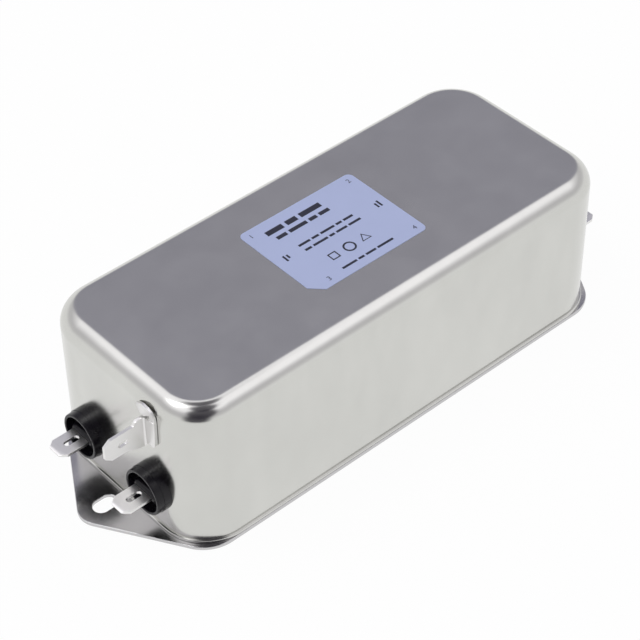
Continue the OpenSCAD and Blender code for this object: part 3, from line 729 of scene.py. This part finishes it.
def model_label():
    """The label's film, with three round corners and one that is cut off."""
    low, high = LABEL_LOW, LABEL_HIGH
    r, cut, tip = 1.6 * MM, 3.2 * MM, 0.15 * MM
    rounds = [(high.x - r, high.y - r, r), (low.x + r, high.y - r, r),
              (high.x - r, low.y + r, r), (low.x + tip, low.y + cut + 0.4 * tip, tip),
              (low.x + cut + 0.4 * tip, low.y + tip, tip)]
    film = hull_plate("label_film", rounds, low.z, low.z + 0.1 * MM, sides=48)
    finish_with(film, "BEVEL", width=0.03 * MM, segments=2, limit_method="ANGLE",
                angle_limit=radians(50))
    complete(film, ["label"], finish_named("label film"))


def model_print():
    """Generic marks: rows of plain bars, three simple outlines and the corners' numbers."""
    centre = (LABEL_LOW + LABEL_HIGH) / 2
    low, high = LABEL_LOW.z + 0.095 * MM, LABEL_LOW.z + 0.108 * MM
    level_z, thick = (low + high) / 2, high - low
    rows = [  # in mm: start, height of the row's middle, bar height, bar lengths
        (-12.6, 10.0, 1.7, (5.2, 3.4, 6.6)),
        (-11.6, 7.2, 1.2, (3.1, 5.6, 2.4, 3.2)),
        (-9.6, 1.6, 0.75, (3.6, 2.2, 4.4, 1.8, 3.0)),
        (-9.4, -0.6, 0.75, (2.0, 4.6, 1.6, 3.4, 3.8)),
        (-7.2, -11.4, 0.7, (4.6, 1.8, 3.2, 5.0)),
    ]

    def bar(x, y, wide, tall):
        place = centre + Vector((x * MM, y * MM, 0))
        place.z = level_z
        bpy.ops.mesh.primitive_cube_add(size=1, location=place,
                                        scale=(wide * MM, tall * MM, thick))

    def plug(name, sides, x, radius, depth):
        pick()
        bpy.ops.mesh.primitive_cylinder_add(
            vertices=sides, radius=radius * MM, depth=depth,
            location=(centre.x + x * MM, centre.y - 6.6 * MM, level_z),
            rotation=(0, 0, pi / 4 if sides == 4 else 0))
        return settle(name)

    pick()
    bars = None
    for start, level, tall, lengths in rows:
        for long in lengths:
            bar(start + long / 2, level, long, tall)
            if bars is None:
                bars = settle("label_print")
                bpy.ops.object.mode_set(mode="EDIT")
            start += long + 0.45 * tall + 0.25
    for x, lengths in ((-14.9, (2.2, 1.4)), (14.6, (1.8, 2.4))):
        for row, long in enumerate(lengths):
            bar(x + row, 0.3 + row * 0.2, 0.55, long)
    bpy.ops.object.mode_set(mode="OBJECT")
    marks = [bars]
    for sides, x in ((4, -5.6), (36, -0.6), (3, 4.4)):
        marks.append(plug("outline", sides, x, 1.75, thick))
        combine(marks[-1], plug("inside", sides, x, 1.25, thick * 3), "DIFFERENCE")
    for number, x, y in (("1", -16.3, 11.2), ("2", 15.2, 11.2), ("3", -12.4, -12.6),
                         ("4", 15.2, -12.6)):
        pick()
        bpy.ops.object.text_add(location=(centre.x + x * MM, centre.y + y * MM, low))
        text = bpy.context.object
        text.data.body = number
        text.data.size = 2.1 * MM
        text.data.resolution_u = 3
        text.data.extrude = thick / 2
        text.location.z = level_z
        bpy.ops.object.convert(target="MESH")
        marks.append(settle("number"))
        with editing(marks[-1]):
            bpy.ops.mesh.select_all(action="SELECT")
            bpy.ops.mesh.remove_doubles(threshold=0.0005 * MM)
    pick(*marks)
    bpy.ops.object.join()
    complete(bars, [], finish_named("label ink"), smooth=20)


def dress_inner_nodes():
    """Gives every CAD node the finish of its material slot, the ones inside too."""
    slots = {part["node"]: part["material_slot"] for part in frame["record"]["subparts"]}
    for name, piece in frame["nodes"].items():
        piece.data.materials.clear()
        piece.data.materials.append(finish_named(INNER_FINISHES[slots[name]]))


# ---- stage ----

def set_camera():
    azimuth, elevation, roll = map(radians, (CAMERA_AZIMUTH, CAMERA_ELEVATION, CAMERA_ROLL))
    back = Vector((sin(azimuth) * cos(elevation), -cos(azimuth) * cos(elevation), sin(elevation)))
    right = Vector((0, 0, 1)).cross(back).normalized()
    above = back.cross(right)
    right, above = (right * cos(roll) + above * sin(roll), above * cos(roll) - right * sin(roll))
    place = (Vector((0, 0, AIM_HEIGHT * MM)) + right * AIM_RIGHT * MM + above * AIM_UP * MM
             + back * CAMERA_DISTANCE * MM)
    data = bpy.data.cameras.new("camera")
    data.sensor_width = CAMERA_SENSOR
    data.lens = CAMERA_LENS
    data.clip_start, data.clip_end = 0.01, 20
    camera = bpy.data.objects.new("camera", data)
    bpy.context.collection.objects.link(camera)
    camera.matrix_world = Matrix((
        (right.x, above.x, back.x, place.x), (right.y, above.y, back.y, place.y),
        (right.z, above.z, back.z, place.z), (0, 0, 0, 1)))
    bpy.context.scene.camera = camera


def lay_floor():
    """A matt floor that keeps shadows, and looks white where it is seen or mirrored."""
    pick()
    bpy.ops.mesh.primitive_plane_add(size=FLOOR_SIZE, location=(0, 0, 0))
    floor = settle("floor")
    material = bpy.data.materials.new("pale floor")
    material.use_nodes = True
    nodes, links = material.node_tree.nodes, material.node_tree.links
    shader = nodes["Principled BSDF"]
    shader.inputs["Base Color"].default_value = (FLOOR_GREY, FLOOR_GREY, FLOOR_GREY, 1)
    shader.inputs["Roughness"].default_value = 0.9
    shader.inputs["Specular IOR Level"].default_value = 0
    glow = nodes.new("ShaderNodeEmission")
    glow.inputs["Strength"].default_value = 1
    path = nodes.new("ShaderNodeLightPath")
    seen = nodes.new("ShaderNodeMath")
    seen.operation = "MAXIMUM"
    links.new(path.outputs["Is Camera Ray"], seen.inputs[0])
    links.new(path.outputs["Is Glossy Ray"], seen.inputs[1])
    both = nodes.new("ShaderNodeMath")
    both.operation = "MAXIMUM"
    links.new(seen.outputs[0], both.inputs[0])
    links.new(path.outputs["Is Transmission Ray"], both.inputs[1])
    share = nodes.new("ShaderNodeMath")
    share.operation = "MULTIPLY"
    share.inputs[1].default_value = FLOOR_GLOW
    links.new(both.outputs[0], share.inputs[0])
    mix = nodes.new("ShaderNodeMixShader")
    links.new(share.outputs[0], mix.inputs["Fac"])
    links.new(shader.outputs["BSDF"], mix.inputs[1])
    links.new(glow.outputs["Emission"], mix.inputs[2])
    links.new(mix.outputs["Shader"], nodes["Material Output"].inputs["Surface"])
    floor.data.materials.append(material)


def light_world():
    """A bright horizon, a dimmer ring above it, a bright ceiling and what stands round it."""
    world = bpy.data.worlds.new("studio")
    bpy.context.scene.world = world
    world.use_nodes = True
    nodes, links = world.node_tree.nodes, world.node_tree.links
    surround = nodes["Background"]
    place = nodes.new("ShaderNodeTexCoord")

    def toward(azimuth, elevation):
        """How closely a direction matches the given one, from -1 to 1."""
        a, e = radians(azimuth), radians(elevation)
        dot = nodes.new("ShaderNodeVectorMath")
        dot.operation = "DOT_PRODUCT"
        dot.inputs[1].default_value = (sin(a) * cos(e), -cos(a) * cos(e), sin(e))
        links.new(place.outputs["Generated"], dot.inputs[0])
        return dot.outputs["Value"]

    def patch(value, inner, outer, low, high):
        """Goes from low outside an angle to high inside a smaller one, in degrees."""
        ease = nodes.new("ShaderNodeMapRange")
        ease.interpolation_type = "SMOOTHSTEP"
        for socket, number in (("From Min", cos(radians(outer))),
                               ("From Max", cos(radians(inner))), ("To Min", low),
                               ("To Max", high)):
            ease.inputs[socket].default_value = number
        links.new(value, ease.inputs["Value"])
        return ease.outputs["Result"]

    height = nodes.new("ShaderNodeSeparateXYZ")
    links.new(place.outputs["Generated"], height.inputs[0])
    ramp = nodes.new("ShaderNodeValToRGB")
    stops = ramp.color_ramp.elements
    for number, (sine, level) in enumerate(SKY_LEVELS):
        stop = stops[number] if number < 2 else stops.new(sine)
        stop.position = sine
        # a little bluer towards the top
        stop.color = (level, level - 0.02 * sine, level + 0.03 * sine, 1)
    links.new(height.outputs["Z"], ramp.inputs["Fac"])
    ceiling = patch(toward(0, 90), CEILING_INNER, CEILING_OUTER, 1.0, CEILING_LEVEL)

    def over(below, mask, shade):
        """Lays a plain colour over what is below it, by a mask."""
        layer = nodes.new("ShaderNodeMix")
        layer.data_type = "RGBA"
        layer.inputs["B"].default_value = (*shade, 1)
        links.new(mask, layer.inputs["Factor"])
        links.new(below, layer.inputs["A"])
        return layer.outputs["Result"]

    bright = nodes.new("ShaderNodeVectorMath")
    bright.operation = "SCALE"
    links.new(ramp.outputs["Color"], bright.inputs[0])
    links.new(ceiling, bright.inputs["Scale"])
    around = bright.outputs["Vector"]
    for azimuth, elevation, inner, outer, share, shade in SURROUNDINGS:
        around = over(around, patch(toward(azimuth, elevation), inner, outer, 0, share), shade)
    path = nodes.new("ShaderNodeLightPath")
    white = nodes.new("ShaderNodeBackground")
    white.inputs["Color"].default_value = (1, 1, 1, 1)
    surround.inputs["Strength"].default_value = 1
    links.new(around, surround.inputs["Color"])
    mix = nodes.new("ShaderNodeMixShader")
    links.new(path.outputs["Is Camera Ray"], mix.inputs["Fac"])
    links.new(surround.outputs["Background"], mix.inputs[1])
    links.new(white.outputs["Background"], mix.inputs[2])
    links.new(mix.outputs["Shader"], nodes["World Output"].inputs["Surface"])


def hang_lamp():
    """A weak softbox above the far side, turned to the object."""
    data = bpy.data.lights.new("softbox", "AREA")
    data.shape = "RECTANGLE"
    data.size = data.size_y = LAMP_SIZE
    data.energy = LAMP_POWER
    lamp = bpy.data.objects.new("softbox", data)
    bpy.context.collection.objects.link(lamp)
    lamp.location = LAMP_PLACE
    aim = Vector(LAMP_TARGET) - Vector(LAMP_PLACE)
    lamp.rotation_euler = aim.to_track_quat("-Z", "Y").to_euler()


def set_stage():
    set_camera()
    lay_floor()
    light_world()
    hang_lamp()
    bpy.context.scene.view_settings.view_transform = "Standard"


# ---- operators ----

class LINEFILTER_OT_case(bpy.types.Operator):
    """Models the drawn sheet case with its round edges, bottom rim and terminal holes"""
    bl_idname = "line_filter.case"
    bl_label = "Case"

    def execute(self, context):
        model_case(context.scene.line_filter.case)
        return {"FINISHED"}


class LINEFILTER_OT_plate(bpy.types.Operator):
    """Models the base plate with its two slotted ears"""
    bl_idname = "line_filter.plate"
    bl_label = "Base Plate"

    def execute(self, context):
        model_plate(context.scene.line_filter.plate)
        return {"FINISHED"}


class LINEFILTER_OT_bushings(bpy.types.Operator):
    """Models the four moulded bushings"""
    bl_idname = "line_filter.bushings"
    bl_label = "Bushings"

    def execute(self, context):
        settings = context.scene.line_filter
        model_bushings(settings.terminals, settings.case)
        return {"FINISHED"}


class LINEFILTER_OT_blades(bpy.types.Operator):
    """Models the four flat blades"""
    bl_idname = "line_filter.blades"
    bl_label = "Blades"

    def execute(self, context):
        model_blades(context.scene.line_filter.terminals)
        return {"FINISHED"}


class LINEFILTER_OT_earth_tab(bpy.types.Operator):
    """Models the earth tab with its welded foot"""
    bl_idname = "line_filter.earth_tab"
    bl_label = "Earth Tab"

    def execute(self, context):
        model_earth_tab(context.scene.line_filter.terminals)
        return {"FINISHED"}


class LINEFILTER_OT_label(bpy.types.Operator):
    """Models the label's film and its generic marks"""
    bl_idname = "line_filter.label"
    bl_label = "Label"

    def execute(self, context):
        model_label()
        model_print()
        return {"FINISHED"}


class LINEFILTER_OT_inside(bpy.types.Operator):
    """Gives the CAD nodes their finishes"""
    bl_idname = "line_filter.inside"
    bl_label = "Inner Parts"

    def execute(self, context):
        dress_inner_nodes()
        return {"FINISHED"}


class LINEFILTER_OT_stage(bpy.types.Operator):
    """Sets the camera, the floor, the lamp and the surroundings"""
    bl_idname = "line_filter.stage"
    bl_label = "Stage"

    def execute(self, context):
        set_stage()
        return {"FINISHED"}


OPERATORS = (LINEFILTER_OT_case, LINEFILTER_OT_plate, LINEFILTER_OT_bushings,
             LINEFILTER_OT_blades, LINEFILTER_OT_earth_tab, LINEFILTER_OT_label,
             LINEFILTER_OT_inside, LINEFILTER_OT_stage)


class LINEFILTER_PT_build(bpy.types.Panel):
    """Lists the steps that build the line filter"""
    bl_idname = "LINEFILTER_PT_build"
    bl_label = "Line Filter"
    bl_space_type = "VIEW_3D"
    bl_region_type = "UI"
    bl_category = "Line Filter"

    def draw(self, context):
        for step in OPERATORS:
            self.layout.operator(step.bl_idname)


CLASSES = (LineFilterCase, LineFilterPlate, LineFilterTerminals, LineFilterColours,
           LineFilterSettings, *OPERATORS, LINEFILTER_PT_build)


def register():
    for item in CLASSES:
        bpy.utils.register_class(item)
    bpy.types.Scene.line_filter = PointerProperty(type=LineFilterSettings)


def unregister():
    del bpy.types.Scene.line_filter
    for item in reversed(CLASSES):
        bpy.utils.unregister_class(item)


def main():
    register()
    bpy.ops.line_filter.case()
    bpy.ops.line_filter.plate()
    bpy.ops.line_filter.bushings()
    bpy.ops.line_filter.blades()
    bpy.ops.line_filter.earth_tab()
    bpy.ops.line_filter.label()
    bpy.ops.line_filter.inside()
    bpy.ops.line_filter.stage()


if __name__ == "__main__":
    main()
